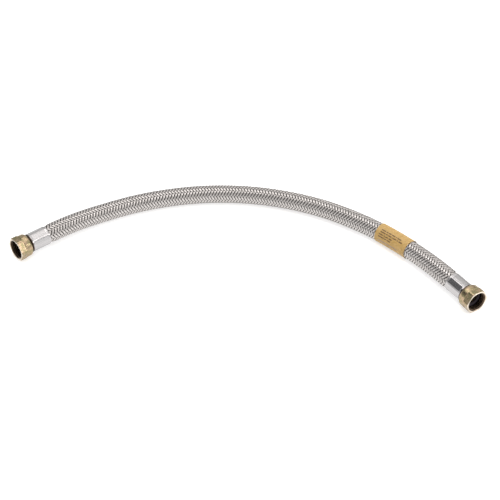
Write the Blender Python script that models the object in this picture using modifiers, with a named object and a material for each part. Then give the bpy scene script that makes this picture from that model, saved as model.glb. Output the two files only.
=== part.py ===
"""Braided stainless water hose with a loose brass hex nut on each end, lying on a level surface.

Metres, +Z up. The hose lies in an arc along X, its two nuts reaching towards -Y. The origin is on the
surface, under the middle of the object's box.
"""

from math import cos, pi, radians, sin, tan, tau

import bmesh
import bpy
import numpy as np
from mathutils import Matrix, Vector

# Clearance between two pieces that touch on the real hose
GAP = 0.0003

# Hose: a woven sleeve over a rubber tube
HOSE_DIAMETER = 0.0265
BRAID_WALL = 0.0009
LINER_WALL = 0.0023
HOSE_SIDES = 12
POINT_SPACING = 0.022

# Free, woven length between the two ferrules, and its route seen from above, which is scaled to that length
FREE_LENGTH = 0.6631
ROUTE = (
    (-0.2800, -0.0590),
    (-0.2505, -0.0210),
    (-0.2180, 0.0115),
    (-0.1805, 0.0410),
    (-0.1390, 0.0645),
    (-0.0945, 0.0820),
    (-0.0495, 0.0920),
    (-0.0015, 0.0950),
    (0.0460, 0.0905),
    (0.0905, 0.0795),
    (0.1345, 0.0610),
    (0.1760, 0.0370),
    (0.2140, 0.0075),
    (0.2470, -0.0245),
    (0.2785, -0.0605),
)
# Each end rises to the height of its nut over the lift, and its fitting points along the last stretch
LIFT_LENGTH = 0.120
END_STRETCH = 0.002

# Crimped ferrule
FERRULE_LENGTH = 0.029
FERRULE_DIAMETER = 0.0264
FERRULE_WALL = 0.0009
FERRULE_EDGE = 0.0005
CRIMP_JAWS = 8
CRIMP_ACROSS_FLATS = 0.0254
CRIMP_LENGTH = 0.0245
CRIMP_START = 0.0015
CRIMP_RELEASE = 0.010

# Stem: the brass insert that the hose is crimped on
STEM_BORE = 0.0124
STEM_NECK_DIAMETER = 0.0180
STEM_FLANGE_DIAMETER = 0.0236
STEM_FLANGE_THICKNESS = 0.0022
STEM_TAIL_INSET = 0.002
BARB_COUNT = 4
BARB_DEPTH = 0.0006

# Swivel nut, 3/4 inch hose thread
NUT_LENGTH = 0.019
NUT_COLLAR_DIAMETER = 0.0320
NUT_COLLAR_LENGTH = 0.0097
NUT_BACK_DIAMETER = 0.0268
NUT_BACK_ROUNDING = 0.0034
NUT_ACROSS_FLATS = 0.0302
NUT_CORNER_DIAMETER = 0.0338
NUT_CORNER_SLOPE = 0.0007
NUT_FACE_DIAMETER = 0.0326
NUT_FACE_CHAMFER = 0.0007
NUT_BACK_WALL = 0.0035
NUT_RELIEF_DIAMETER = 0.0274
THREAD_BORE = 0.0243
THREAD_MOUTH_DIAMETER = 0.0280
NECK_CLEARANCE = 0.0004
NUT_PLAY = 0.0011

# Washer
WASHER_DIAMETER = 0.0248
WASHER_HOLE = 0.0160
WASHER_THICKNESS = 0.0030
WASHER_ROOM = 0.0003

# Label wrapped round the hose, open underneath
LABEL_LENGTH = 0.056
LABEL_FROM_RIGHT = 0.1125
LABEL_THICKNESS = 0.0002
LABEL_WRAP = radians(300)
LABEL_POINTS = 21

# Turn of each nut's first corner, and of each ferrule's first corner, about its axis from straight up
NUT_TURN = {"left": radians(33.0), "right": radians(29.0)}
CRIMP_TURN = {"left": radians(-5.0), "right": radians(22.5)}
NUT_SLID_BACK = {"left": 0.0, "right": NUT_PLAY}

ROUND_STEPS = 36
ARC_STEPS = 4

# Sizes that follow
HOSE_RADIUS = HOSE_DIAMETER / 2
FLAT_SHARE = cos(pi / HOSE_SIDES)
LINER_OFFSET = (BRAID_WALL + GAP) / FLAT_SHARE
LINER_RADIUS = HOSE_RADIUS - LINER_OFFSET
FERRULE_BORE_RADIUS = CRIMP_ACROSS_FLATS / 2 - FERRULE_WALL
CRIMPED_RADIUS = FERRULE_BORE_RADIUS - GAP
LINER_CRIMPED_RADIUS = CRIMPED_RADIUS - LINER_OFFSET
BARB_RADIUS = LINER_CRIMPED_RADIUS * FLAT_SHARE - LINER_WALL - GAP
NECK_RADIUS = STEM_NECK_DIAMETER / 2
HOSE_END = FERRULE_LENGTH - FERRULE_WALL - GAP
NUT_START = FERRULE_LENGTH + GAP + NUT_PLAY
FLANGE_START = NUT_START + NUT_BACK_WALL + GAP
FLANGE_END = FLANGE_START + STEM_FLANGE_THICKNESS
WASHER_START = FLANGE_END + GAP
RELIEF_END = NUT_BACK_WALL + STEM_FLANGE_THICKNESS + WASHER_THICKNESS + NUT_PLAY + 2 * GAP + WASHER_ROOM
END_HEIGHT = NUT_COLLAR_DIAMETER / 2


def clear_scene():
    for item in list(bpy.data.objects):
        bpy.data.objects.remove(item)


def collection(name):
    made = bpy.data.collections.new(name)
    bpy.context.scene.collection.children.link(made)
    return made


def material(name, colour, roughness, metallic):
    made = bpy.data.materials.new(name)
    made.use_nodes = True
    shader = made.node_tree.nodes["Principled BSDF"]
    shader.inputs["Base Color"].default_value = (*colour, 1.0)
    shader.inputs["Roughness"].default_value = roughness
    shader.inputs["Metallic"].default_value = metallic
    made.diffuse_color = (*colour, 1.0)
    return made


def add(name, data, group, finish=None):
    made = bpy.data.objects.new(name, data)
    group.objects.link(made)
    if finish:
        data.materials.append(finish)
    return made


def natural_spline(knots, values):
    """Second derivatives at the knots of the smooth curve through the values, straight at both ends."""
    steps = np.diff(knots)
    slopes = np.diff(values, axis=0) / steps[:, None]
    system = np.eye(len(knots))
    right = np.zeros_like(values)
    for i in range(1, len(knots) - 1):
        system[i, i - 1] = steps[i - 1]
        system[i, i] = 2 * (steps[i - 1] + steps[i])
        system[i, i + 1] = steps[i]
        right[i] = 6 * (slopes[i] - slopes[i - 1])
    return np.linalg.solve(system, right)


def spline_points(knots, values, bends, places):
    """Points of the curve at the given places along the knots."""
    index = np.clip(np.searchsorted(knots, places) - 1, 0, len(knots) - 2)
    step = (knots[index + 1] - knots[index])[:, None]
    back = (knots[index + 1] - places)[:, None]
    ahead = (places - knots[index])[:, None]
    curved = (bends[index] * back**3 + bends[index + 1] * ahead**3) / (6 * step)
    near = (values[index] / step - bends[index] * step / 6) * back
    far = (values[index + 1] / step - bends[index + 1] * step / 6) * ahead
    return curved + near + far


def smoothstep(share):
    share = np.clip(share, 0.0, 1.0)
    return share * share * (3 - 2 * share)


class Route:
    """The hose's centreline between the ferrules, at any length from its left end."""

    SAMPLES = 2000

    def __init__(self):
        values = np.array(ROUTE)
        knots = np.concatenate([[0.0], np.cumsum(np.hypot(*np.diff(values, axis=0).T))])
        places = np.linspace(0.0, knots[-1], self.SAMPLES)
        drawn = spline_points(knots, values, natural_spline(knots, values), places)
        runs = np.hypot(*np.diff(drawn, axis=0).T)
        scale = FREE_LENGTH / sum(runs)
        self.plan = drawn * scale
        self.along = np.concatenate([[0.0], np.cumsum(runs * scale)])
        self.length = self.along[-1]

    def height(self, s):
        from_end = np.minimum(s, self.length - s)
        return END_HEIGHT + (HOSE_RADIUS - END_HEIGHT) * smoothstep(from_end / LIFT_LENGTH)

    def point(self, s):
        x = np.interp(s, self.along, self.plan[:, 0])
        y = np.interp(s, self.along, self.plan[:, 1])
        return np.stack([x, y, self.height(s)], axis=-1)

    def end(self, side):
        """The ferrule's mouth and the level direction out of the hose there."""
        s, inner = (0.0, END_STRETCH) if side == "left" else (self.length, self.length - END_STRETCH)
        mouth = Vector(self.point(s))
        out = mouth - Vector(self.point(inner))
        out.z = 0.0
        return mouth, out.normalized()


def end_matrix(route, side):
    """Local Z runs out of the hose, local X points up."""
    mouth, out = route.end(side)
    turn = Matrix(((0.0, out.y, out.x), (0.0, -out.x, out.y), (1.0, 0.0, 0.0)))
    return Matrix.Translation(mouth) @ turn.to_4x4()


def hose_places(route):
    """Lengths along the hose from the left ferrule's mouth, below 0 and past the end inside the ferrules."""
    inside = HOSE_END - FERRULE_EDGE
    ends = [-inside, -inside / 2, 0.0, CRIMP_RELEASE / 2, CRIMP_RELEASE]
    count = round((route.length - 2 * CRIMP_RELEASE) / POINT_SPACING)
    middle = np.linspace(CRIMP_RELEASE, route.length - CRIMP_RELEASE, count + 1)[1:-1]
    return np.array([*ends, *middle, *(route.length - s for s in reversed(ends))])


def hose_point(route, s):
    if s < 0 or s > route.length:
        mouth, out = route.end("left" if s < 0 else "right")
        return mouth + out * (-s if s < 0 else s - route.length)
    return Vector(route.point(s))


def hose_radius(route, s):
    """Radius of the braid, squeezed under the ferrules and let go over a short length outside."""
    from_end = min(s, route.length - s)
    return CRIMPED_RADIUS + (HOSE_RADIUS - CRIMPED_RADIUS) * smoothstep(from_end / CRIMP_RELEASE)


def sleeve(name, route, inset, wall, group, finish):
    """A hose layer: a bevelled curve along the route, made hollow."""
    curve = bpy.data.curves.new(name, "CURVE")
    curve.dimensions = "3D"
    curve.twist_mode = "Z_UP"
    curve.bevel_depth = HOSE_RADIUS
    curve.bevel_resolution = (HOSE_SIDES - 4) // 2
    places = hose_places(route)
    spline = curve.splines.new("POLY")
    spline.points.add(len(places) - 1)
    for point, s in zip(spline.points, places):
        point.co = (*hose_point(route, s), 1.0)
        point.radius = (hose_radius(route, s) - inset) / HOSE_RADIUS
    made = add(name, curve, group, finish)
    hollow = made.modifiers.new("wall", "SOLIDIFY")
    hollow.thickness = wall
    hollow.offset = -1.0
    hollow.use_even_offset = True
    return made


def arc(centre, radius, start, end, steps=ARC_STEPS):
    """Profile points on an arc, angles from the profile's +X."""
    x, z = centre
    angles = np.linspace(start, end, steps + 1)
    return [(x + radius * cos(a), z + radius * sin(a)) for a in angles]


def turned(name, profile, group, finish):
    """A turned ring from a closed profile of (radius, height), its outer side listed from the top down."""
    mesh = bpy.data.meshes.new(name)
    form = bmesh.new()
    points = [form.verts.new((radius, 0.0, height)) for radius, height in profile]
    for one, other in zip(points, points[1:] + points[:1]):
        form.edges.new((one, other))
    form.to_mesh(mesh)
    form.free()
    made = add(name, mesh, group, finish)
    screw = made.modifiers.new("turned", "SCREW")
    screw.axis = "Z"
    screw.angle = tau
    screw.steps = ROUND_STEPS
    screw.render_steps = ROUND_STEPS
    screw.use_merge_vertices = True
    screw.merge_threshold = 0.00001
    screw.use_smooth_shade = False
    return made


def prism(name, sides, across_flats, low, high, group):
    """An upright prism or cylinder with its first corner on +X."""
    mesh = bpy.data.meshes.new(name)
    form = bmesh.new()
    radius = across_flats / 2 / cos(pi / sides)
    bmesh.ops.create_cone(
        form, cap_ends=True, segments=sides, radius1=radius, radius2=radius, depth=high - low
    )
    bmesh.ops.rotate(form, verts=form.verts, matrix=Matrix.Rotation(-pi / 2, 3, "Z"))
    bmesh.ops.translate(form, verts=form.verts, vec=(0.0, 0.0, (low + high) / 2))
    form.to_mesh(mesh)
    form.free()
    return add(name, mesh, group)


def cut(target, cutter, operation="DIFFERENCE"):
    step = target.modifiers.new(cutter.name, "BOOLEAN")
    step.operation = operation
    step.solver = "EXACT"
    step.object = cutter
    cutter.hide_render = True
    cutter.display_type = "WIRE"


def flats(target, sides, across_flats, low, high, group):
    """Cuts flats round a turned piece between two heights: a ring with a polygon for its hole."""
    over = 1.3 * across_flats
    ring = prism(f"{target.name}_flats_ring", ROUND_STEPS, over, low, high, group)
    core = prism(f"{target.name}_flats_core", sides, across_flats, low - over, high + over, group)
    cut(ring, core)
    cut(target, ring)
    for cutter in (ring, core):
        cutter.parent = target


def ferrule_profile():
    outer = FERRULE_DIAMETER / 2
    lip = NECK_RADIUS + GAP
    rim = outer - FERRULE_EDGE
    top = arc((rim, FERRULE_LENGTH - FERRULE_EDGE), FERRULE_EDGE, pi / 2, 0.0)
    foot = arc((rim, FERRULE_EDGE), FERRULE_EDGE, 0.0, -pi / 2)
    bore = FERRULE_BORE_RADIUS
    shoulder = FERRULE_LENGTH - FERRULE_WALL
    return [*top, *foot, (bore, 0.0), (bore, shoulder), (lip, shoulder), (lip, FERRULE_LENGTH)]


def stem_profile():
    bore = STEM_BORE / 2
    flange = STEM_FLANGE_DIAMETER / 2
    neck_start = HOSE_END + GAP
    tail_length = neck_start - STEM_TAIL_INSET
    pitch = tail_length / BARB_COUNT
    points = [(flange, FLANGE_END), (flange, FLANGE_START), (NECK_RADIUS, FLANGE_START)]
    points.append((NECK_RADIUS, neck_start))
    for barb in range(BARB_COUNT):
        top = neck_start - barb * pitch
        points += [(BARB_RADIUS, top), (BARB_RADIUS - BARB_DEPTH, top - pitch)]
    return [*points, (bore, STEM_TAIL_INSET), (bore, FLANGE_END)]


def nut_profile():
    """Heights run from the nut's back to its open face."""
    face = NUT_FACE_DIAMETER / 2
    corner = NUT_CORNER_DIAMETER / 2
    collar = NUT_COLLAR_DIAMETER / 2
    back = NUT_BACK_DIAMETER / 2
    mouth = THREAD_MOUTH_DIAMETER / 2
    thread = THREAD_BORE / 2
    relief = NUT_RELIEF_DIAMETER / 2
    hole = NECK_RADIUS + NECK_CLEARANCE
    rise, depth = NUT_BACK_ROUNDING, collar - back
    shoulder = [
        (back + depth * cos(a), rise - rise * sin(a)) for a in np.linspace(0.0, pi / 2, ARC_STEPS + 1)
    ]
    outer = [
        (face, NUT_LENGTH),
        (corner, NUT_LENGTH - NUT_FACE_CHAMFER),
        (corner, NUT_COLLAR_LENGTH + NUT_CORNER_SLOPE),
        (collar, NUT_COLLAR_LENGTH),
        *shoulder,
    ]
    inner = [
        (hole, 0.0),
        (hole, NUT_BACK_WALL),
        (relief, NUT_BACK_WALL),
        (relief, RELIEF_END),
        (thread, RELIEF_END + (relief - thread) * tan(radians(30))),
        (thread, NUT_LENGTH - (mouth - thread)),
        (mouth, NUT_LENGTH),
    ]
    return outer + inner


def washer_profile():
    outer = WASHER_DIAMETER / 2
    hole = WASHER_HOLE / 2
    top = WASHER_START + WASHER_THICKNESS
    return [(outer, top), (outer, WASHER_START), (hole, WASHER_START), (hole, top)]


def label(route, group, guides, finish):
    """A wrapped strip: an open arc swept along its stretch of the hose, given its paper's thickness."""
    arc_data = bpy.data.curves.new("label_arc", "CURVE")
    arc_data.dimensions = "3D"
    arc_line = arc_data.splines.new("POLY")
    arc_line.points.add(LABEL_POINTS - 1)
    radius = HOSE_RADIUS + GAP
    spread = np.linspace(-LABEL_WRAP / 2, LABEL_WRAP / 2, LABEL_POINTS)
    for point, angle in zip(arc_line.points, spread):
        point.co = (radius * sin(angle), radius * cos(angle), 0.0, 1.0)
    arc_object = add("label_arc", arc_data, guides)
    arc_object.hide_render = True
    arc_object.display_type = "WIRE"
    path = bpy.data.curves.new("label", "CURVE")
    path.dimensions = "3D"
    path.twist_mode = "Z_UP"
    path.bevel_mode = "OBJECT"
    path.bevel_object = arc_object
    line = path.splines.new("POLY")
    count = 2 * round(LABEL_LENGTH / POINT_SPACING) + 1
    start = route.length - LABEL_FROM_RIGHT - LABEL_LENGTH / 2
    line.points.add(count - 1)
    for point, s in zip(line.points, np.linspace(start, start + LABEL_LENGTH, count)):
        point.co = (*hose_point(route, s), 1.0)
    made = add("label", path, group, finish)
    skin = made.modifiers.new("paper", "SOLIDIFY")
    skin.thickness = LABEL_THICKNESS
    skin.offset = 1.0
    return made


def end_fitting(side, route, parts, cutters, finishes):
    """Ferrule, stem, washer and swivel nut of one end, on an empty at the ferrule's mouth."""
    end = bpy.data.objects.new(f"{side}_end", None)
    end.empty_display_size = HOSE_RADIUS
    end.matrix_world = end_matrix(route, side)
    parts.objects.link(end)

    ferrule = turned(f"ferrule_{side}", ferrule_profile(), parts, finishes["steel"])
    ferrule.rotation_euler.z = CRIMP_TURN[side]
    crimp_end = CRIMP_START + CRIMP_LENGTH
    flats(ferrule, CRIMP_JAWS, CRIMP_ACROSS_FLATS, CRIMP_START, crimp_end, cutters)

    stem = turned(f"stem_{side}", stem_profile(), parts, finishes["brass"])
    washer = turned(f"washer_{side}", washer_profile(), parts, finishes["rubber"])

    nut = turned(f"swivel_nut_{side}", nut_profile(), parts, finishes["brass"])
    nut.location.z = NUT_START - NUT_SLID_BACK[side]
    nut.rotation_euler.z = NUT_TURN[side]
    hex_start = NUT_COLLAR_LENGTH - GAP
    flats(nut, 6, NUT_ACROSS_FLATS, hex_start, NUT_LENGTH + NUT_COLLAR_LENGTH, cutters)

    for piece in (ferrule, stem, washer, nut):
        piece.parent = end


def main():
    clear_scene()
    parts = collection("braided_water_hose")
    cutters = collection("cutters")
    finishes = {
        "steel": material("polished_stainless_steel", (0.62, 0.61, 0.60), 0.25, 1.0),
        "braid": material("stainless_wire_braid", (0.52, 0.51, 0.50), 0.35, 1.0),
        "brass": material("machined_brass", (0.68, 0.53, 0.28), 0.30, 1.0),
        "rubber": material("black_rubber", (0.03, 0.03, 0.032), 0.75, 0.0),
        "paper": material("gold_paper", (0.56, 0.38, 0.13), 0.60, 0.0),
    }
    route = Route()
    sleeve("inner_tube", route, LINER_OFFSET, LINER_WALL, parts, finishes["rubber"])
    sleeve("braid", route, 0.0, BRAID_WALL, parts, finishes["braid"])
    label(route, parts, cutters, finishes["paper"])
    for side in ("left", "right"):
        end_fitting(side, route, parts, cutters, finishes)


main()
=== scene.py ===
"""Braided stainless water hose with brass swivel nuts, on a white table in soft studio light.

Metres, +Z up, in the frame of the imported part. Angles round the hose are measured from straight
up, positive towards the outside of the arc, which is away from the camera.
"""

from math import atan2, cos, pi, radians, sin, tau

import bpy
import numpy as np
from mathutils import Matrix, Vector


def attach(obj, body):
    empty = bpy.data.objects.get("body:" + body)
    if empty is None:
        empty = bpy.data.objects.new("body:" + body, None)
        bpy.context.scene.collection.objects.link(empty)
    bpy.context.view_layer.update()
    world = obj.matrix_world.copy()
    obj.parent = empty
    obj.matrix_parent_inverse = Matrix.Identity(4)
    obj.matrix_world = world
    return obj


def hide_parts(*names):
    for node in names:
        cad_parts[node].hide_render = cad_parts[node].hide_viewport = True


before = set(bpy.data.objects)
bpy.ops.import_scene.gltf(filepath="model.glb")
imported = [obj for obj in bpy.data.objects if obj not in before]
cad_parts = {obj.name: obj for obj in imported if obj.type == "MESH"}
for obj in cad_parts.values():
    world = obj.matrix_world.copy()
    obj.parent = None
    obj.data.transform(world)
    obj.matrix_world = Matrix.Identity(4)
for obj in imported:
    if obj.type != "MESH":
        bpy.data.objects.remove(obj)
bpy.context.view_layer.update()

# Sizes repeated from the part's source or worked out from it; the braid and the tube end about 3 mm
# sooner inside the ferrules, where nothing shows
HOSE_RADIUS = 0.01325
BRAID_INSIDE = 0.0250
FREE_LENGTH = 0.6631
ROUTE = (
    (-0.2800, -0.0590),
    (-0.2505, -0.0210),
    (-0.2180, 0.0115),
    (-0.1805, 0.0410),
    (-0.1390, 0.0645),
    (-0.0945, 0.0820),
    (-0.0495, 0.0920),
    (-0.0015, 0.0950),
    (0.0460, 0.0905),
    (0.0905, 0.0795),
    (0.1345, 0.0610),
    (0.1760, 0.0370),
    (0.2140, 0.0075),
    (0.2470, -0.0245),
    (0.2785, -0.0605),
)
LIFT_LENGTH = 0.120
END_STRETCH = 0.002
END_HEIGHT = 0.016
CRIMPED_RADIUS = 0.0115
CRIMP_RELEASE = 0.010

TUBE_RADIUS = 0.0120
TUBE_WALL = 0.0023
TUBE_INSIDE = 0.0245

FERRULE_LENGTH = 0.029
FERRULE_RADIUS = 0.0132
FERRULE_BORE = 0.0118
FERRULE_LIP_RADIUS = 0.0093
FERRULE_LIP_START = 0.0281
CRIMP_APOTHEM = 0.0127
CRIMP_JAWS = 8
CRIMP_START = 0.0015
CRIMP_END = 0.026
CRIMP_TURN = {"left": radians(-5.0), "right": radians(22.5)}

NUT_LENGTH = 0.019
NUT_START = {"left": 0.0304, "right": 0.0293}
NUT_TURN = {"left": radians(33.0), "right": radians(29.0)}
NUT_COLLAR_RADIUS = 0.0160
NUT_BACK_RADIUS = 0.0134
NUT_BACK_ROUNDING = 0.0034
NUT_APOTHEM = 0.0151
NUT_CORNER_RADIUS = 0.0169
NUT_FACE_RADIUS = 0.0163
NUT_FACE_CHAMFER = 0.0007
NUT_BACK_WALL = 0.0035
NUT_HOLE = 0.0094
NUT_RELIEF = 0.0137
NUT_RELIEF_END = 0.0107
THREAD_CREST = 0.01215
THREAD_MOUTH = 0.0140

WASHER_START = 0.0367
WASHER_THICKNESS = 0.0030
WASHER_RADIUS = 0.0124
WASHER_HOLE = 0.0080

LABEL_LENGTH = 0.056
LABEL_FROM_RIGHT = 0.1125
LABEL_RADIUS = 0.01355
LABEL_THICKNESS = 0.0002
LABEL_WRAP = radians(300)

# Finer shape of the ferrules: rolled edges, and seams raised between the jaws beside a groove
FERRULE_EDGE = 0.0005
FERRULE_MOUTH_EDGE = 0.0002
CRIMP_FADE = 0.0012
CRIMP_SOFTNESS = 0.0003
SEAM_HEIGHT = 0.00022
SEAM_WIDTH = 0.00022
SEAM_FROM_CORNER = 0.00055
GROOVE_DEPTH = 0.00016
GROOVE_WIDTH = 0.00025

# Finer shape of the nuts: where the collar passes into the hexagon, and how soft the forging is
NUT_FACE_ROUNDING = 0.00025
NUT_STEP_START = 0.0092
NUT_SWELL_START = 0.0095
NUT_SWELL_LENGTH = 0.0007
NUT_HEXAGON_START = 0.0108
NUT_CORNER_SOFTNESS = 0.0005
NUT_CHAMFER_SOFTNESS = 0.0003
# 3/4 inch hose thread, 11.5 turns to the inch
THREAD_PITCH = 0.00221
THREAD_DEPTH = 0.0013
THREAD_RUNOUT = 0.0008
THREAD_FROM_MOUTH = 0.0003
THREAD_FROM_RELIEF = 0.0004
# Rows on both sides of the face that the lathe cut too, and that the painted shade inside leaves
# out
CHAMFER_ROWS_CUT = 2
MOUTH_ROWS_CUT = 3

WASHER_EDGE = 0.0004

# Points round the turned pieces and the tube, and rows and columns of the label
FERRULE_STEPS = 256
NUT_STEPS = 240
WASHER_STEPS = 96
TUBE_STEPS = 48
LABEL_ROWS = 90
LABEL_COLUMNS = 160

# Plain bars in place of the print; for each row its start and end from the label's middle, its
# angle round the hose in degrees, and its longest bar
PRINT_HEIGHT = 0.0016
PRINT_THICKNESS = 0.00003
PRINT_GAP = 0.0012
PRINT_ROWS = (
    (-0.0205, 0.0190, -29.0, 0.0062),
    (-0.0210, 0.0190, -43.0, 0.0080),
    (-0.0215, 0.0020, -58.0, 0.0058),
    (-0.0215, 0.0010, -72.0, 0.0090),
)
BORDER_ROW = (-0.0205, 0.0145, -97.0, 0.0500)
# How deep the paper follows the weave
WEAVE_SHOWS = 0.00004

# The weave: bundles of wires wound both ways, each passing over two and under two of the others
CARRIERS = 12
LAY_PITCH = 0.00455
FLOAT_CROSSINGS = 2
BUNDLE_WIDTH = 0.0031
BUNDLE_THICKNESS = 0.00034
BUNDLE_WIRES = 7
BUNDLE_RISE = 0.00034
BUNDLE_CROWN = 0.00050
BUNDLE_UNDERSIDE = 0.00010
WIRE_VALLEY = 0.00008
FLOAT_FLATNESS = 1.4
ROWS_PER_WAVE = 10
MESHES_PER_LAY = 3
CORD_STEP = 0.008
# How deep the weave is, and the shares of that depth at which painted shade starts and is darkest
WEAVE_DEPTH = 0.0012
PIT_FROM = 0.20
PIT_TO = 0.60

# Edges bent by more than this are drawn sharp
SHARP_BEND = radians(32)

# Camera, at the photograph's place
CAMERA_PLACE = (0.1933, -1.0596, 0.7992)
CAMERA_AIM = (0.0016, -0.0205, 0.0)
CAMERA_LENS = 68.52

# Studio: name, place, size and power of each lamp
LAMPS = (
    ("softbox_wide", (0.30, 0.62, 1.95), (2.6, 2.4), 15.0),
    ("softbox_over", (-0.40, 0.10, 1.60), (0.6, 1.4), 8.0),
    ("panel_right", (1.45, -0.30, 0.92), (0.7, 0.5), 5.0),
)
LAMP_COLOUR = (1.0, 0.97, 0.955)
# The room that the metal sees: its light near the table, overhead, and in its unlit corner on the
# left, half way up
ROOM_LOW = (0.84, 0.85, 0.86, 1.0)
ROOM_HIGH = (0.70, 0.69, 0.68, 1.0)
ROOM_DARK = (0.13, 0.13, 0.14, 1.0)
DARK_SIDE = (-0.80, 0.05, 0.60)
WHITE = (1.0, 1.0, 1.0, 1.0)
TABLE_COLOUR = (0.8, 0.8, 0.8, 1.0)
TABLE_HALF = 4.0
# Glow that makes the table white; less for the camera than for the metal, so that the shadow shows
TABLE_GLOW_IN_METAL = 0.65
TABLE_GLOW_IN_VIEW = 0.56


def linear(hex_colour):
    """An sRGB hex colour as linear red, green and blue, with full alpha."""
    parts = [int(hex_colour[i : i + 2], 16) / 255 for i in (1, 3, 5)]
    return [p / 12.92 if p <= 0.04045 else ((p + 0.055) / 1.055) ** 2.4 for p in parts] + [1.0]


def camera():
    data = bpy.data.cameras.new("camera")
    data.sensor_width = 36.0
    data.lens = CAMERA_LENS
    data.clip_start = 0.01
    data.clip_end = 50.0
    made = bpy.data.objects.new("camera", data)
    bpy.context.scene.collection.objects.link(made)
    made.location = CAMERA_PLACE
    aim = Vector(CAMERA_AIM) - made.location
    made.rotation_euler = aim.to_track_quat("-Z", "Y").to_euler()
    bpy.context.scene.camera = made


# Route of the hose

def natural_spline(knots, values):
    """The second derivatives at the knots of the smooth curve through the values."""
    steps = np.diff(knots)
    slopes = np.diff(values, axis=0) / steps[:, None]
    system = np.eye(len(knots))
    right = np.zeros_like(values)
    for i in range(1, len(knots) - 1):
        system[i, i - 1] = steps[i - 1]
        system[i, i] = 2 * (steps[i - 1] + steps[i])
        system[i, i + 1] = steps[i]
        right[i] = 6 * (slopes[i] - slopes[i - 1])
    return np.linalg.solve(system, right)


def spline_points(knots, values, bends, places):
    index = np.clip(np.searchsorted(knots, places) - 1, 0, len(knots) - 2)
    step = (knots[index + 1] - knots[index])[:, None]
    back = (knots[index + 1] - places)[:, None]
    ahead = (places - knots[index])[:, None]
    curved = (bends[index] * back**3 + bends[index + 1] * ahead**3) / (6 * step)
    near = (values[index] / step - bends[index] * step / 6) * back
    far = (values[index + 1] / step - bends[index + 1] * step / 6) * ahead
    return curved + near + far


def smoothstep(share):
    share = np.clip(share, 0.0, 1.0)
    return share * share * (3 - 2 * share)


class Route:
    """The hose's centreline, straight and level inside the ferrules."""

    SAMPLES = 2000
    TABLE_ROWS = 4001
    PAST_ENDS = 0.030

    def __init__(self):
        values = np.array(ROUTE)
        knots = np.concatenate([[0.0], np.cumsum(np.hypot(*np.diff(values, axis=0).T))])
        places = np.linspace(0.0, knots[-1], self.SAMPLES)
        drawn = spline_points(knots, values, natural_spline(knots, values), places)
        runs = np.hypot(*np.diff(drawn, axis=0).T)
        scale = FREE_LENGTH / sum(runs)
        self.plan = drawn * scale
        self.along = np.concatenate([[0.0], np.cumsum(runs * scale)])
        self.length = self.along[-1]
        first, last = -self.PAST_ENDS, self.length + self.PAST_ENDS
        self.samples = np.linspace(first, last, self.TABLE_ROWS)
        line = np.array([self.centre(s) for s in self.samples])
        way = np.gradient(line, self.samples, axis=0)
        way /= np.linalg.norm(way, axis=1)[:, None]
        side = np.stack([-way[:, 1], way[:, 0], np.zeros(len(way))], axis=1)
        side /= np.linalg.norm(side, axis=1)[:, None]
        self.table = np.concatenate([line, side, np.cross(way, side)], axis=1)

    def height(self, s):
        from_end = np.minimum(s, self.length - s)
        return END_HEIGHT + (HOSE_RADIUS - END_HEIGHT) * smoothstep(from_end / LIFT_LENGTH)

    def point(self, s):
        x = np.interp(s, self.along, self.plan[:, 0])
        y = np.interp(s, self.along, self.plan[:, 1])
        return np.stack([x, y, self.height(s)], axis=-1)

    def end(self, side):
        """The ferrule's mouth and the level direction out of the hose there."""
        if side == "left":
            s, inner = 0.0, END_STRETCH
        else:
            s, inner = self.length, self.length - END_STRETCH
        mouth = self.point(s)
        out = mouth - self.point(inner)
        out[2] = 0.0
        return mouth, out / np.linalg.norm(out)

    def centre(self, s):
        if 0 <= s <= self.length:
            return self.point(s)
        mouth, out = self.end("left" if s < 0 else "right")
        return mouth + out * (-s if s < 0 else s - self.length)

    def on_surface(self, s, angle, radius):
        """Points at lengths along the hose, angles round it and distances from its centreline."""
        line, side, up = (
            np.stack([np.interp(s, self.samples, self.table[:, c]) for c in columns], axis=-1)
            for columns in ((0, 1, 2), (3, 4, 5), (6, 7, 8))
        )
        round_it = np.sin(angle)[..., None] * side + np.cos(angle)[..., None] * up
        return line + radius[..., None] * round_it

    def radius(self, s):
        """Outer radius of the braid, squeezed under the ferrules."""
        from_end = np.minimum(s, self.length - s)
        opened = smoothstep(from_end / CRIMP_RELEASE)
        return CRIMPED_RADIUS + (HOSE_RADIUS - CRIMPED_RADIUS) * opened


def end_matrix(route, side):
    """Local Z runs out of the hose, local X points up."""
    mouth, out = route.end(side)
    turn = Matrix(((0.0, out[1], out[0]), (0.0, -out[0], out[1]), (1.0, 0.0, 0.0)))
    return Matrix.Translation(mouth) @ turn.to_4x4()


# Meshes

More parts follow.
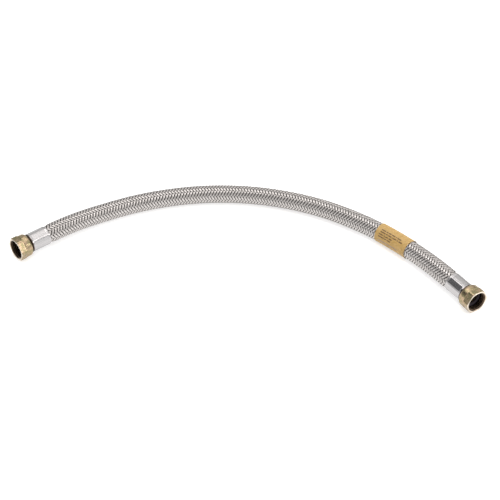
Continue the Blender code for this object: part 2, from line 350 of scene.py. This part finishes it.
def grid_mesh(name, points, finish, body, wrap_rows=False, sharp=None):
    """A mesh from rings of points, shape (strips, rows, columns, 3), with its open ends closed.

    sharp marks the columns whose lengthwise edges are sharp; without it the bend decides.
    """
    strips, rows, columns, _ = points.shape
    index = np.arange(strips * rows * columns).reshape(strips, rows, columns)
    low, high = index[:, :-1], index[:, 1:]
    if wrap_rows:
        low, high = index, np.roll(index, -1, axis=1)
    quads = np.stack([low, np.roll(low, -1, axis=2), np.roll(high, -1, axis=2), high], axis=-1)
    quads = quads.reshape(-1, 4)
    loops = [quads.ravel()]
    sizes = [np.full(len(quads), 4)]
    if not wrap_rows:
        loops += [index[:, 0, ::-1].ravel(), index[:, -1, :].ravel()]
        sizes.append(np.full(2 * strips, columns))
    loops = np.concatenate(loops).astype(np.int32)
    sizes = np.concatenate(sizes).astype(np.int32)
    starts = np.concatenate([[0], np.cumsum(sizes)[:-1]]).astype(np.int32)
    mesh = bpy.data.meshes.new(name)
    mesh.vertices.add(index.size)
    mesh.vertices.foreach_set("co", points.reshape(-1).astype(np.float32))
    mesh.loops.add(len(loops))
    mesh.loops.foreach_set("vertex_index", loops)
    mesh.polygons.add(len(sizes))
    mesh.polygons.foreach_set("loop_start", starts)
    mesh.update(calc_edges=True)
    mesh.validate()
    if sharp is None:
        mesh.set_sharp_from_angle(angle=SHARP_BEND)
    else:
        ends = np.zeros(2 * len(mesh.edges), np.int32)
        mesh.edges.foreach_get("vertices", ends)
        column = ends.reshape(-1, 2) % columns
        mark = (column[:, 0] == column[:, 1]) & sharp[column[:, 0]]
        mesh.attributes.new("sharp_edge", "BOOLEAN", "EDGE").data.foreach_set("value", mark)
    mesh.materials.append(finish)
    made = bpy.data.objects.new(name, mesh)
    bpy.context.scene.collection.objects.link(made)
    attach(made, body)
    return made


def mark_points(made, name, values):
    """A number or a direction for each point, which the piece's material reads."""
    values = np.asarray(values).astype(np.float32)
    if values.shape[-1] == 3:
        kept = made.data.attributes.new(name, "FLOAT_VECTOR", "POINT")
        kept.data.foreach_set("vector", values.ravel())
    else:
        kept = made.data.attributes.new(name, "FLOAT", "POINT")
        kept.data.foreach_set("value", values.ravel())


def turned_points(profile, steps, shape=None):
    """A turned piece's points: rows round local Z, columns along its (radius, height) profile."""
    angle = np.linspace(0.0, tau, steps, endpoint=False)[:, None]
    radius = np.array([p[0] for p in profile])[None, :] + 0 * angle
    height = np.array([p[1] for p in profile])[None, :] + 0 * angle
    if shape:
        radius = shape(angle, radius, height)
    return np.stack([radius * np.cos(angle), radius * np.sin(angle), height], axis=-1)[None]


def turned_mesh(name, local, matrix, finish, body):
    """A turned piece in its place; its material reads where each point is on the piece itself."""
    world = np.array(matrix)
    placed = local @ world[:3, :3].T + world[:3, 3]
    made = grid_mesh(name, placed, finish, body, wrap_rows=True)
    mark_points(made, "own_place", local)
    return made


# The hose

def braid_points(route, direction, bundles):
    """Flat bundles of wires wound one way, passing over and under those wound the other way."""
    lay = CARRIERS * LAY_PITCH
    steep = atan2(tau * HOSE_RADIUS, lay)
    step = FLOAT_CROSSINGS * LAY_PITCH / ROWS_PER_WAVE
    s = np.arange(-BRAID_INSIDE, route.length + BRAID_INSIDE, step)
    half = BUNDLE_WIDTH / 2
    across = np.linspace(-half, half, 2 * BUNDLE_WIRES + 1)
    lift = np.where(np.arange(len(across)) % 2, 0.0, -WIRE_VALLEY) + BUNDLE_THICKNESS / 2
    lift -= BUNDLE_CROWN * (across / half) ** 2
    bottom = lift[0] - BUNDLE_UNDERSIDE
    across = np.concatenate([[-half], across, [half]])
    lift = np.concatenate([[bottom], lift, [bottom]])
    start = np.array(list(bundles))[:, None, None]
    s = s[None, :, None] + 0 * start
    angle = direction * tau * s / lay + tau * start / CARRIERS
    angle = angle + across * cos(steep) / HOSE_RADIUS
    s = s - direction * sin(steep) * across
    other = (angle + direction * tau * s / lay) * CARRIERS / tau + start
    wave = np.cos(pi * (other - 0.5 * (FLOAT_CROSSINGS - 1)) / FLOAT_CROSSINGS)
    over = direction * np.tanh(FLOAT_FLATNESS * wave) / np.tanh(FLOAT_FLATNESS)
    below = BUNDLE_RISE * (1 - over) + BUNDLE_THICKNESS / 2 - lift
    points = route.on_surface(s, angle, route.radius(s) - below)
    out = points - route.on_surface(s, angle, np.zeros_like(s))
    sideways = np.cross(np.gradient(points, axis=1), out)
    sideways /= np.linalg.norm(sideways, axis=-1, keepdims=True)
    valleys = np.zeros(len(across), bool)
    valleys[0] = valleys[-1] = True
    valleys[1:-1:2] = True
    return points, valleys, below, sideways


def braid(route, finish):
    share = CARRIERS // MESHES_PER_LAY
    for name, direction in (("braid_right_lay", 1), ("braid_left_lay", -1)):
        for part in range(MESHES_PER_LAY):
            bundles = range(part * share, (part + 1) * share)
            points, valleys, below, sideways = braid_points(route, direction, bundles)
            made = grid_mesh(f"{name}_{part + 1}", points, finish, "hose", sharp=valleys)
            mark_points(made, "depth", below[..., None] / WEAVE_DEPTH)
            mark_points(made, "across_wires", sideways)
            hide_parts("braid")
    s = np.arange(-BRAID_INSIDE, route.length + BRAID_INSIDE, CORD_STEP)
    route.end("left")[0]
    [route.centre(v) for v in s]


def inner_tube(route, finish):
    # Rows are closest where the tube is squeezed under the ferrules
    s = np.concatenate([
        np.linspace(-TUBE_INSIDE, 0.010, 12),
        np.arange(0.014, route.length - 0.012, 0.005),
        np.linspace(route.length - 0.010, route.length + TUBE_INSIDE, 12),
    ])[:, None]
    angle = np.linspace(0.0, tau, TUBE_STEPS, endpoint=False)[None, :]
    outer = TUBE_RADIUS - (HOSE_RADIUS - route.radius(s)) + 0 * angle
    s2, a2 = s + 0 * angle, angle + 0 * s
    out = route.on_surface(s2, a2, outer)
    inside = route.on_surface(s2, a2, outer - TUBE_WALL)
    loop = np.concatenate([out, inside[::-1]], axis=0)
    points = np.swapaxes(loop, 0, 1)[None]
    made = grid_mesh("inner_tube_round", points, finish, "hose", wrap_rows=True)
    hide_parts("inner_tube")


def label(route, finish):
    start = route.length - LABEL_FROM_RIGHT - LABEL_LENGTH / 2
    s = np.linspace(start, start + LABEL_LENGTH, LABEL_ROWS)
    angle = np.linspace(-LABEL_WRAP / 2, LABEL_WRAP / 2, LABEL_COLUMNS)
    s2, a2 = np.meshgrid(s, angle, indexing="ij")
    turn = tau * s2 / (CARRIERS * LAY_PITCH)
    bumps = np.cos((a2 - turn) * CARRIERS) * np.cos((a2 + turn) * CARRIERS)
    top = LABEL_RADIUS + LABEL_THICKNESS - WEAVE_SHOWS * (1 - bumps)
    outer = route.on_surface(s2, a2, top)
    inner = route.on_surface(s2, a2, LABEL_RADIUS + 0 * s2)
    loop = np.concatenate([outer, inner[:, ::-1]], axis=1)[None]
    made = grid_mesh("paper_label", loop, finish, "hose")
    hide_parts("label")


def label_print(route, name, rows, finish):
    """Rows of plain bars along the hose, each row a few bars with gaps between them."""
    middle = route.length - LABEL_FROM_RIGHT
    bars = []
    for start, end, angle, longest in rows:
        place, count = start, 0
        while place < end - 2 * PRINT_GAP:
            # Bars differ in length, from a tenth of the longest up
            run = longest * (0.55 + 0.45 * cos(2.4 * count)) + PRINT_GAP
            bar_end = min(place + run, end)
            bars.append((middle + place, middle + bar_end, radians(angle)))
            place, count = bar_end + PRINT_GAP, count + 1
    under = LABEL_RADIUS + LABEL_THICKNESS - 2 * WEAVE_SHOWS
    top = LABEL_RADIUS + LABEL_THICKNESS + PRINT_THICKNESS
    across = np.linspace(-PRINT_HEIGHT / 2, PRINT_HEIGHT / 2, 5) / LABEL_RADIUS
    along = np.linspace(0.0, 1.0, 8)[None, :, None]
    start, end, angle = (np.array([bar[i] for bar in bars])[:, None, None] for i in range(3))
    turn = angle + np.concatenate([across, across[::-1]])
    s = start + (end - start) * along + 0 * turn
    radius = np.repeat([top, under], len(across)) + 0 * s
    points = route.on_surface(s, turn + 0 * s, radius)
    made = grid_mesh(name, points, finish, "hose")


# End fittings

def soft_min(one, other, soft):
    """The smaller of two lengths, rounded over where they meet."""
    share = np.clip(0.5 + 0.5 * (other - one) / soft, 0.0, 1.0)
    return other + (one - other) * share - soft * share * (1 - share)


def ferrule(route, side, finish):
    """A drawn sleeve with rolled edges, pressed to eight flats with raised seams between them."""
    edge = FERRULE_EDGE
    quarter = np.linspace(0.0, pi / 2, 6)
    # Rows are closest at the edges and where the crimp fades in and out
    heights = np.concatenate([
        edge - edge * np.cos(quarter),
        np.linspace(0.0008, 0.0034, 9),
        np.linspace(0.0045, 0.0235, 12),
        np.linspace(0.0242, 0.0275, 11),
        FERRULE_LENGTH - edge + edge * np.sin(quarter),
    ])
    from_edge = np.clip(edge - np.minimum(heights, FERRULE_LENGTH - heights), 0, edge)
    fillet = edge - np.sqrt(np.clip(edge**2 - from_edge**2, 0, None))
    outer = [(FERRULE_RADIUS - f, z) for f, z in zip(fillet, heights)]
    bore = [
        (FERRULE_LIP_RADIUS, FERRULE_LENGTH),
        (FERRULE_LIP_RADIUS, FERRULE_LIP_START),
        (FERRULE_BORE, FERRULE_LIP_START),
        (FERRULE_BORE, FERRULE_MOUTH_EDGE),
    ]

    def crimp(angle, radius, height):
        facet = (angle - CRIMP_TURN[side]) % (tau / CRIMP_JAWS) - pi / CRIMP_JAWS
        flat = CRIMP_APOTHEM / np.cos(facet)
        from_corner = (pi / CRIMP_JAWS - np.abs(facet)) * FERRULE_RADIUS
        seam = SEAM_HEIGHT * np.exp(-((from_corner - SEAM_FROM_CORNER) / SEAM_WIDTH) ** 2)
        groove = GROOVE_DEPTH * np.exp(-(from_corner / GROOVE_WIDTH) ** 2)
        pressed = soft_min(flat + 0 * height, radius, CRIMP_SOFTNESS) + seam - groove
        pressed = np.minimum(pressed, FERRULE_RADIUS)
        inside = smoothstep((height - CRIMP_START) / CRIMP_FADE)
        inside = inside * smoothstep((CRIMP_END - height) / CRIMP_FADE)
        made = radius + (pressed - radius) * inside
        made[:, len(outer):] = radius[:, len(outer):]
        return made

    points = turned_points(outer + bore, FERRULE_STEPS, crimp)
    matrix = end_matrix(route, side)
    made = turned_mesh(f"crimped_ferrule_{side}", points, matrix, finish, "hose")
    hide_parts(f"ferrule_{side}")


def swivel_nut(route, side, finish):
    """Forged collar, hexagon with chamfered corners, machined face and a cut thread inside."""
    back = [
        (NUT_BACK_RADIUS + (NUT_COLLAR_RADIUS - NUT_BACK_RADIUS) * cos(a),
         NUT_BACK_ROUNDING * (1 - sin(a)))
        for a in np.linspace(pi / 2, 0.0, 13)
    ]
    # Rows are closest where the collar passes into the hexagon, and at the face and the thread
    collar = [(NUT_COLLAR_RADIUS, z) for z in np.linspace(0.0040, 0.0090, 6)]
    step = [(NUT_COLLAR_RADIUS, z) for z in np.linspace(NUT_STEP_START, 0.0106, 15)]
    hexagon = [(NUT_CORNER_RADIUS, z) for z in np.linspace(0.0110, 0.0180, 10)]
    chamfer_start = NUT_LENGTH - NUT_FACE_CHAMFER
    chamfer_height = NUT_FACE_CHAMFER - NUT_FACE_ROUNDING
    chamfer = [
        (NUT_CORNER_RADIUS - (NUT_CORNER_RADIUS - NUT_FACE_RADIUS) * t,
         chamfer_start + chamfer_height * t)
        for t in np.linspace(0.0, 1.0, 9)
    ]
    face = [(NUT_FACE_RADIUS, NUT_LENGTH), (THREAD_MOUTH + NUT_FACE_ROUNDING, NUT_LENGTH)]
    flare = THREAD_MOUTH - THREAD_CREST
    mouth = [
        (THREAD_MOUTH - flare * t, NUT_LENGTH - NUT_FACE_ROUNDING / 2 - flare * t)
        for t in np.linspace(0.0, 1.0, 14)
    ]
    thread_top = NUT_LENGTH - flare - THREAD_FROM_MOUTH
    thread_foot = NUT_RELIEF_END + THREAD_FROM_RELIEF
    thread = [(THREAD_CREST, z) for z in np.linspace(thread_top, thread_foot, 44)]
    rest = [
        (NUT_RELIEF, NUT_RELIEF_END),
        (NUT_RELIEF, NUT_BACK_WALL),
        (NUT_HOLE, NUT_BACK_WALL),
        (NUT_HOLE, 0.0),
    ]
    outside = back + collar + step + hexagon + chamfer
    profile = outside + face + mouth + thread + rest
    face_start = len(outside)
    thread_start = face_start + len(face)
    thread_end = thread_start + len(mouth + thread)

    def shape(angle, radius, height):
        from_corner = np.abs((angle + pi / 6) % (pi / 3) - pi / 6)
        hexed = NUT_APOTHEM / np.cos(pi / 6 - from_corner) + 0 * height
        hexed = soft_min(hexed, NUT_CORNER_RADIUS + 0 * hexed, NUT_CORNER_SOFTNESS)
        grown = smoothstep((height - NUT_SWELL_START) / NUT_SWELL_LENGTH)
        swelling = NUT_COLLAR_RADIUS + (hexed - NUT_COLLAR_RADIUS) * grown
        capped = soft_min(hexed, radius, NUT_CHAMFER_SOFTNESS)
        above = np.where(height > NUT_HEXAGON_START, capped, swelling)
        formed = np.where(height > NUT_STEP_START, above, radius)
        made = radius.copy()
        made[:, :face_start] = formed[:, :face_start]
        made[:, face_start] = made[:, face_start - 1] - NUT_FACE_ROUNDING
        phase = (height / THREAD_PITCH - angle / tau) % 1.0
        # Flat at the crest and at the root, with slanting flanks between
        depth = THREAD_DEPTH * smoothstep(1.6 * (1 - np.abs(2 * phase - 1)) - 0.3)
        runout = smoothstep((height - NUT_RELIEF_END) / THREAD_RUNOUT)
        cut = np.maximum(made, THREAD_CREST + depth * runout)
        made[:, thread_start:thread_end] = cut[:, thread_start:thread_end]
        return made

    matrix = end_matrix(route, side) @ Matrix.Translation((0.0, 0.0, NUT_START[side]))
    matrix = matrix @ Matrix.Rotation(NUT_TURN[side], 4, "Z")
    points = turned_points(profile, NUT_STEPS, shape)
    made = turned_mesh(f"brass_swivel_nut_{side}", points, matrix, finish, f"nut_{side}")
    columns = np.arange(len(profile)) + np.zeros(points.shape[:3])
    columns = columns[..., None]
    cut_start = face_start - CHAMFER_ROWS_CUT
    # From a few rows into the mouth on, the inside is drawn dark as painted shade
    inside_shade_start = thread_start + MOUTH_ROWS_CUT
    mark_points(made, "inside", columns >= inside_shade_start)
    mark_points(made, "machined", (columns >= cut_start) & (columns < inside_shade_start))
    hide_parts(f"swivel_nut_{side}")


def washer(route, side, finish):
    low, high = WASHER_START, WASHER_START + WASHER_THICKNESS
    profile = []
    for radius, height, start in (
        (WASHER_RADIUS - WASHER_EDGE, low + WASHER_EDGE, -pi / 2),
        (WASHER_RADIUS - WASHER_EDGE, high - WASHER_EDGE, 0.0),
        (WASHER_HOLE + WASHER_EDGE, high - WASHER_EDGE, pi / 2),
        (WASHER_HOLE + WASHER_EDGE, low + WASHER_EDGE, pi),
    ):
        profile += [
            (radius + WASHER_EDGE * cos(a), height + WASHER_EDGE * sin(a))
            for a in np.linspace(start, start + pi / 2, 5)
        ]
    points = turned_points(profile, WASHER_STEPS)
    made = turned_mesh(f"rubber_washer_{side}", points, end_matrix(route, side), finish, "hose")
    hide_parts(f"washer_{side}")


# Materials

def connect(node, links):
    """Links nodes, by their first output, or sockets to a node's inputs."""
    for key, source in links.items():
        socket = source.outputs[0] if hasattr(source, "outputs") else source
        node.id_data.links.new(socket, node.inputs[key])


def add(tree, kind, settings=None, links=None):
    """Adds a node, sets its properties and sockets, and links its inputs."""
    node = tree.nodes.new("ShaderNode" + kind)
    for key, value in (settings or {}).items():
        if hasattr(node, key):
            setattr(node, key, value)
        else:
            node.inputs[key].default_value = value
    connect(node, links or {})
    return node


def per_mm(size):
    """The pattern scale, per metre, that gives marks of this size in millimetres."""
    return 1000 / size


def new_material(name, **shared):
    """A material, its node tree and its shader, with the values that are the same all over."""
    made = bpy.data.materials.new(name)
    made.use_nodes = True
    shader = made.node_tree.nodes["Principled BSDF"]
    for socket, value in shared.items():
        shader.inputs[socket].default_value = value
    return made, made.node_tree, shader


def woven_stainless_wire():
    """Drawn stainless wire: bright, its gloss spread across the wires, with painted shade deep in
    the weave.
    """
    made, tree, shader = new_material("drawn_stainless_wire", Metallic=1.0, Anisotropic=0.8)
    across = add(tree, "Attribute", {"attribute_name": "across_wires"}).outputs["Vector"]
    depth = add(tree, "Attribute", {"attribute_name": "depth"}).outputs["Fac"]
    low = add(tree, "MapRange", {"From Min": PIT_FROM, "From Max": PIT_TO}, {"Value": depth})
    place = add(tree, "TexCoord").outputs["Object"]
    # The wire's own marks are too fine to show; handling dulls it in patches of 5.5 mm
    dulled = add(tree, "TexNoise", {"Scale": per_mm(5.5), "Detail": 2.0}, {"Vector": place})
    wire = {"Color1": linear("#D5D1CF"), "Color2": linear("#BDB9B6")}
    wire = add(tree, "MixRGB", wire, {"Fac": dulled})
    # Painted shade: the deeper a point lies in the weave, the darker its colour
    pit_shaded_wire = add(tree, "MixRGB", {"Color2": linear("#242120")}, {"Fac": low, "Color1": wire})
    rough = add(tree, "MapRange", {"To Min": 0.34, "To Max": 0.46}, {"Value": dulled})
    connect(shader, {"Base Color": pit_shaded_wire, "Roughness": rough, "Tangent": across})
    return made


def pressed_stainless_sleeve():
    """Drawn stainless tube pressed between eight jaws: bright, with the die's streaks along it."""
    made, tree, shader = new_material("pressed_stainless_tube", Metallic=1.0)
    place = add(tree, "Attribute", {"attribute_name": "own_place"}).outputs["Vector"]
    # Real streaks are 0.1 mm wide; 0.9 mm is as fine as shows from a step away
    streak = {"Scale": (per_mm(0.9), per_mm(0.9), per_mm(33))}
    stretched = add(tree, "Mapping", streak, {"Vector": place})
    streaks = add(tree, "TexNoise", {"Scale": 1.0, "Detail": 3.0}, {"Vector": stretched})
    steel = {"Color1": linear("#C3C1C1"), "Color2": linear("#9E9D9E")}
    steel = add(tree, "MixRGB", steel, {"Fac": streaks})
    # Painted shade: darker where the front edge is rolled in behind the nut, where the gap to the
    # nut lies in shadow
    height = add(tree, "SeparateXYZ", links={"Vector": place}).outputs["Z"]
    gap_shade = add(tree, "MapRange", {"From Min": 0.0268, "From Max": 0.0278}, {"Value": height})
    gap_shaded_steel = add(tree, "MixRGB", {"Color2": linear("#4A3E38")}, {"Fac": gap_shade, "Color1": steel})
    rough = add(tree, "MapRange", {"To Min": 0.14, "To Max": 0.32}, {"Value": streaks})
    relief = add(tree, "Bump", {"Strength": 0.35, "Distance": 0.00006}, {"Height": streaks})
    connect(shader, {"Base Color": gap_shaded_steel, "Roughness": rough, "Normal": relief})
    return made


def tumbled_forged_brass():
    """Forged and tumbled brass: satin, patchy between pink and olive, pale where the face is
    machined, and dark brown inside as painted shade in the thread and bore."""
    made, tree, shader = new_material("tumbled_forged_brass", Metallic=1.0)
    place = add(tree, "Attribute", {"attribute_name": "own_place"}).outputs["Vector"]
    # Stains from the forging, 4 mm wide
    stains = add(tree, "TexNoise", {"Scale": per_mm(4.2), "Detail": 2.0}, {"Vector": place})
    # Tumbling dents of 0.3 mm, drawn at 1 mm so that they show
    dents = add(tree, "TexNoise", {"Scale": per_mm(1.0), "Detail": 1.0}, {"Vector": place})
    spread = add(tree, "MapRange", {"From Min": 0.38, "From Max": 0.62}, {"Value": stains})
    skin = {"Color1": linear("#AC967C"), "Color2": linear("#8C8464")}
    skin = add(tree, "MixRGB", skin, {"Fac": spread})
    machined = add(tree, "Attribute", {"attribute_name": "machined"}).outputs["Fac"]
    face = add(tree, "MixRGB", {"Color2": linear("#D2C6B6")}, {"Fac": machined, "Color1": skin})
    # Painted shade: the thread and the bore inside the nut are drawn dark brown
    thread = {"Color1": linear("#6A5848"), "Color2": linear("#3A2F26")}
    thread = add(tree, "MixRGB", thread, {"Fac": dents})
    inside = add(tree, "Attribute", {"attribute_name": "inside"}).outputs["Fac"]
    brass = add(tree, "MixRGB", links={"Fac": inside, "Color1": face, "Color2": thread})
    rough = add(tree, "MapRange", {"To Min": 0.16, "To Max": 0.38}, {"Value": dents})
    relief = add(tree, "Bump", {"Strength": 0.6, "Distance": 0.0002}, {"Height": dents})
    connect(shader, {"Base Color": brass, "Roughness": rough, "Normal": relief})
    return made


def turned_brass_stem():
    """Bar brass cut on a lathe: brighter and smoother than the forged nuts, with a fine grain."""
    made, tree, shader = new_material("turned_brass", Metallic=1.0)
    place = add(tree, "TexCoord").outputs["Object"]
    # Real tool marks are 0.1 mm apart, drawn at 1.1 mm so that they show
    grain = add(tree, "TexNoise", {"Scale": per_mm(1.1), "Detail": 2.0}, {"Vector": place})
    brass = {"Color1": linear("#CDB583"), "Color2": linear("#A8915F")}
    brass = add(tree, "MixRGB", brass, {"Fac": grain})
    rough = add(tree, "MapRange", {"To Min": 0.18, "To Max": 0.34}, {"Value": grain})
    connect(shader, {"Base Color": brass, "Roughness": rough})
    return made


def moulded_rubber(name, dark, light, grain, roughness):
    """Rubber with a matt skin, its bloom of wax a little paler in patches of the grain, in mm."""
    made, tree, shader = new_material(name, Roughness=roughness)
    place = add(tree, "TexCoord").outputs["Object"]
    bloom = add(tree, "TexNoise", {"Scale": per_mm(grain), "Detail": 3.0}, {"Vector": place})
    skin = {"Color1": linear(dark), "Color2": linear(light)}
    skin = add(tree, "MixRGB", skin, {"Fac": bloom})
    relief = add(tree, "Bump", {"Strength": 0.3, "Distance": 0.0001}, {"Height": bloom})
    connect(shader, {"Base Color": skin, "Normal": relief})
    return made


def printed_label_paper():
    """Gold printed paper under a thin varnish: soft sheen, faintly mottled over the wires."""
    made, tree, shader = new_material("gold_printed_paper")
    place = add(tree, "TexCoord").outputs["Object"]
    # Half the distance between the crossings of the wires beneath
    mottle = add(tree, "TexNoise", {"Scale": per_mm(2.4), "Detail": 3.0}, {"Vector": place})
    spread = add(tree, "MapRange", {"From Min": 0.3, "From Max": 0.7}, {"Value": mottle})
    gold = {"Color1": linear("#CFAC6E"), "Color2": linear("#B7934E")}
    gold = add(tree, "MixRGB", gold, {"Fac": spread})
    rough = add(tree, "MapRange", {"To Min": 0.38, "To Max": 0.55}, {"Value": mottle})
    relief = add(tree, "Bump", {"Strength": 0.25, "Distance": 0.0001}, {"Height": mottle})
    connect(shader, {"Base Color": gold, "Roughness": rough, "Normal": relief})
    return made


def printed_ink(name, dark, light):
    """Thin ink on the paper: matt, letting the paper show through where it is worn thin."""
    made, tree, shader = new_material(name, Roughness=0.6)
    place = add(tree, "TexCoord").outputs["Object"]
    # Letters would be 1.4 mm wide; the bars break up at that size
    worn = add(tree, "TexNoise", {"Scale": per_mm(1.4), "Detail": 2.0}, {"Vector": place})
    spread = add(tree, "MapRange", {"From Min": 0.4, "From Max": 0.7}, {"Value": worn})
    ink = {"Color1": linear(dark), "Color2": linear(light)}
    connect(shader, {"Base Color": add(tree, "MixRGB", ink, {"Fac": spread})})
    return made


# Studio

def room():
    """Plain white for the camera, and softly uneven walls for what the metal reflects."""
    world = bpy.data.worlds.new("studio")
    bpy.context.scene.world = world
    world.use_nodes = True
    tree = world.node_tree
    tree.nodes.clear()
    way = add(tree, "TexCoord").outputs["Generated"]
    height = add(tree, "SeparateXYZ", links={"Vector": way}).outputs["Z"]
    soft = {"interpolation_type": "SMOOTHSTEP"}
    up = add(tree, "MapRange", {"From Min": 0.02, "From Max": 0.25, **soft}, {"Value": height})
    wall = add(tree, "MixRGB", {"Color1": ROOM_LOW, "Color2": ROOM_HIGH}, {"Fac": up})
    toward = add(tree, "VectorMath", {"operation": "DOT_PRODUCT"}, {0: way})
    toward.inputs[1].default_value = DARK_SIDE
    corner = {"From Min": 0.88, "From Max": 0.975, **soft}
    corner = add(tree, "MapRange", corner, {"Value": toward.outputs["Value"]})
    walls = add(tree, "MixRGB", {"Color2": ROOM_DARK}, {"Fac": corner, "Color1": wall})
    rays = add(tree, "LightPath").outputs
    either = {"operation": "MAXIMUM"}
    straight = {0: rays["Is Camera Ray"], 1: rays["Is Transmission Ray"]}
    straight = add(tree, "Math", either, straight)
    # Past the table's edge the metal sees the same white
    down = add(tree, "MapRange", {"From Min": 0.02, "From Max": -0.02}, {"Value": height})
    glossed = add(tree, "Math", {"operation": "MULTIPLY"}, {0: rays["Is Glossy Ray"], 1: down})
    plain = add(tree, "Math", either, {0: straight, 1: glossed})
    seen = add(tree, "MixRGB", {"Color2": WHITE}, {"Fac": plain, "Color1": walls})
    sky = add(tree, "Background", {"Strength": 1.0}, {"Color": seen})
    add(tree, "OutputWorld", links={"Surface": sky})


def lamps():
    for name, place, size, power in LAMPS:
        data = bpy.data.lights.new(name, "AREA")
        data.shape = "RECTANGLE"
        data.size, data.size_y = size
        data.energy = power
        data.color = LAMP_COLOUR
        lamp = bpy.data.objects.new(name, data)
        bpy.context.scene.collection.objects.link(lamp)
        lamp.location = place
        lamp.rotation_euler = (-Vector(place)).to_track_quat("-Z", "Y").to_euler()


def table():
    """A table that glows white where it is looked at or mirrored, and is matt white otherwise."""
    far = TABLE_HALF
    corners = [(-far, -far, 0), (far, -far, 0), (far, far, 0), (-far, far, 0)]
    mesh = bpy.data.meshes.new("floor")
    mesh.from_pydata(corners, [], [(0, 1, 2, 3)])
    floor = bpy.data.objects.new("floor", mesh)
    bpy.context.scene.collection.objects.link(floor)
    white = bpy.data.materials.new("white_table")
    white.use_nodes = True
    tree = white.node_tree
    tree.nodes.clear()
    matt = add(tree, "BsdfDiffuse", {"Color": TABLE_COLOUR})
    rays = add(tree, "LightPath").outputs
    strength = {"To Min": TABLE_GLOW_IN_METAL, "To Max": TABLE_GLOW_IN_VIEW}
    strength = add(tree, "MapRange", strength, {"Value": rays["Is Camera Ray"]})
    glow = add(tree, "Emission", {"Color": WHITE}, {"Strength": strength})
    glowing = add(tree, "AddShader", links={0: matt, 1: glow})
    either = {"operation": "MAXIMUM"}
    seen = add(tree, "Math", either, {0: rays["Is Camera Ray"], 1: rays["Is Glossy Ray"]})
    seen = add(tree, "Math", either, {0: seen, 1: rays["Is Transmission Ray"]})
    picked = add(tree, "MixShader", links={0: seen, 1: matt, 2: glowing})
    add(tree, "OutputMaterial", links={"Surface": picked})
    mesh.materials.append(white)


def main():
    camera()
    route = Route()
    braid(route, woven_stainless_wire())
    inner_tube(route, moulded_rubber("extruded_rubber_tube", "#141312", "#242220", 1.5, 0.55))
    steel = pressed_stainless_sleeve()
    brass = tumbled_forged_brass()
    stem_brass = turned_brass_stem()
    rubber = moulded_rubber("moulded_rubber_washer", "#1C171C", "#3A3038", 1.2, 0.6)
    for side in ("left", "right"):
        ferrule(route, side, steel)
        swivel_nut(route, side, brass)
        washer(route, side, rubber)
        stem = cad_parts[f"stem_{side}"]
        stem.data.materials.clear()
        stem.data.materials.append(stem_brass)
    label(route, printed_label_paper())
    brown = printed_ink("brown_ink", "#4E3420", "#8A6A42")
    label_print(route, "label_print_bars", PRINT_ROWS, brown)
    grey = printed_ink("grey_ink", "#A08E86", "#B9A48C")
    label_print(route, "label_border_bar", [BORDER_ROW], grey)
    bpy.context.scene.view_settings.view_transform = "Standard"
    room()
    lamps()
    table()


main()
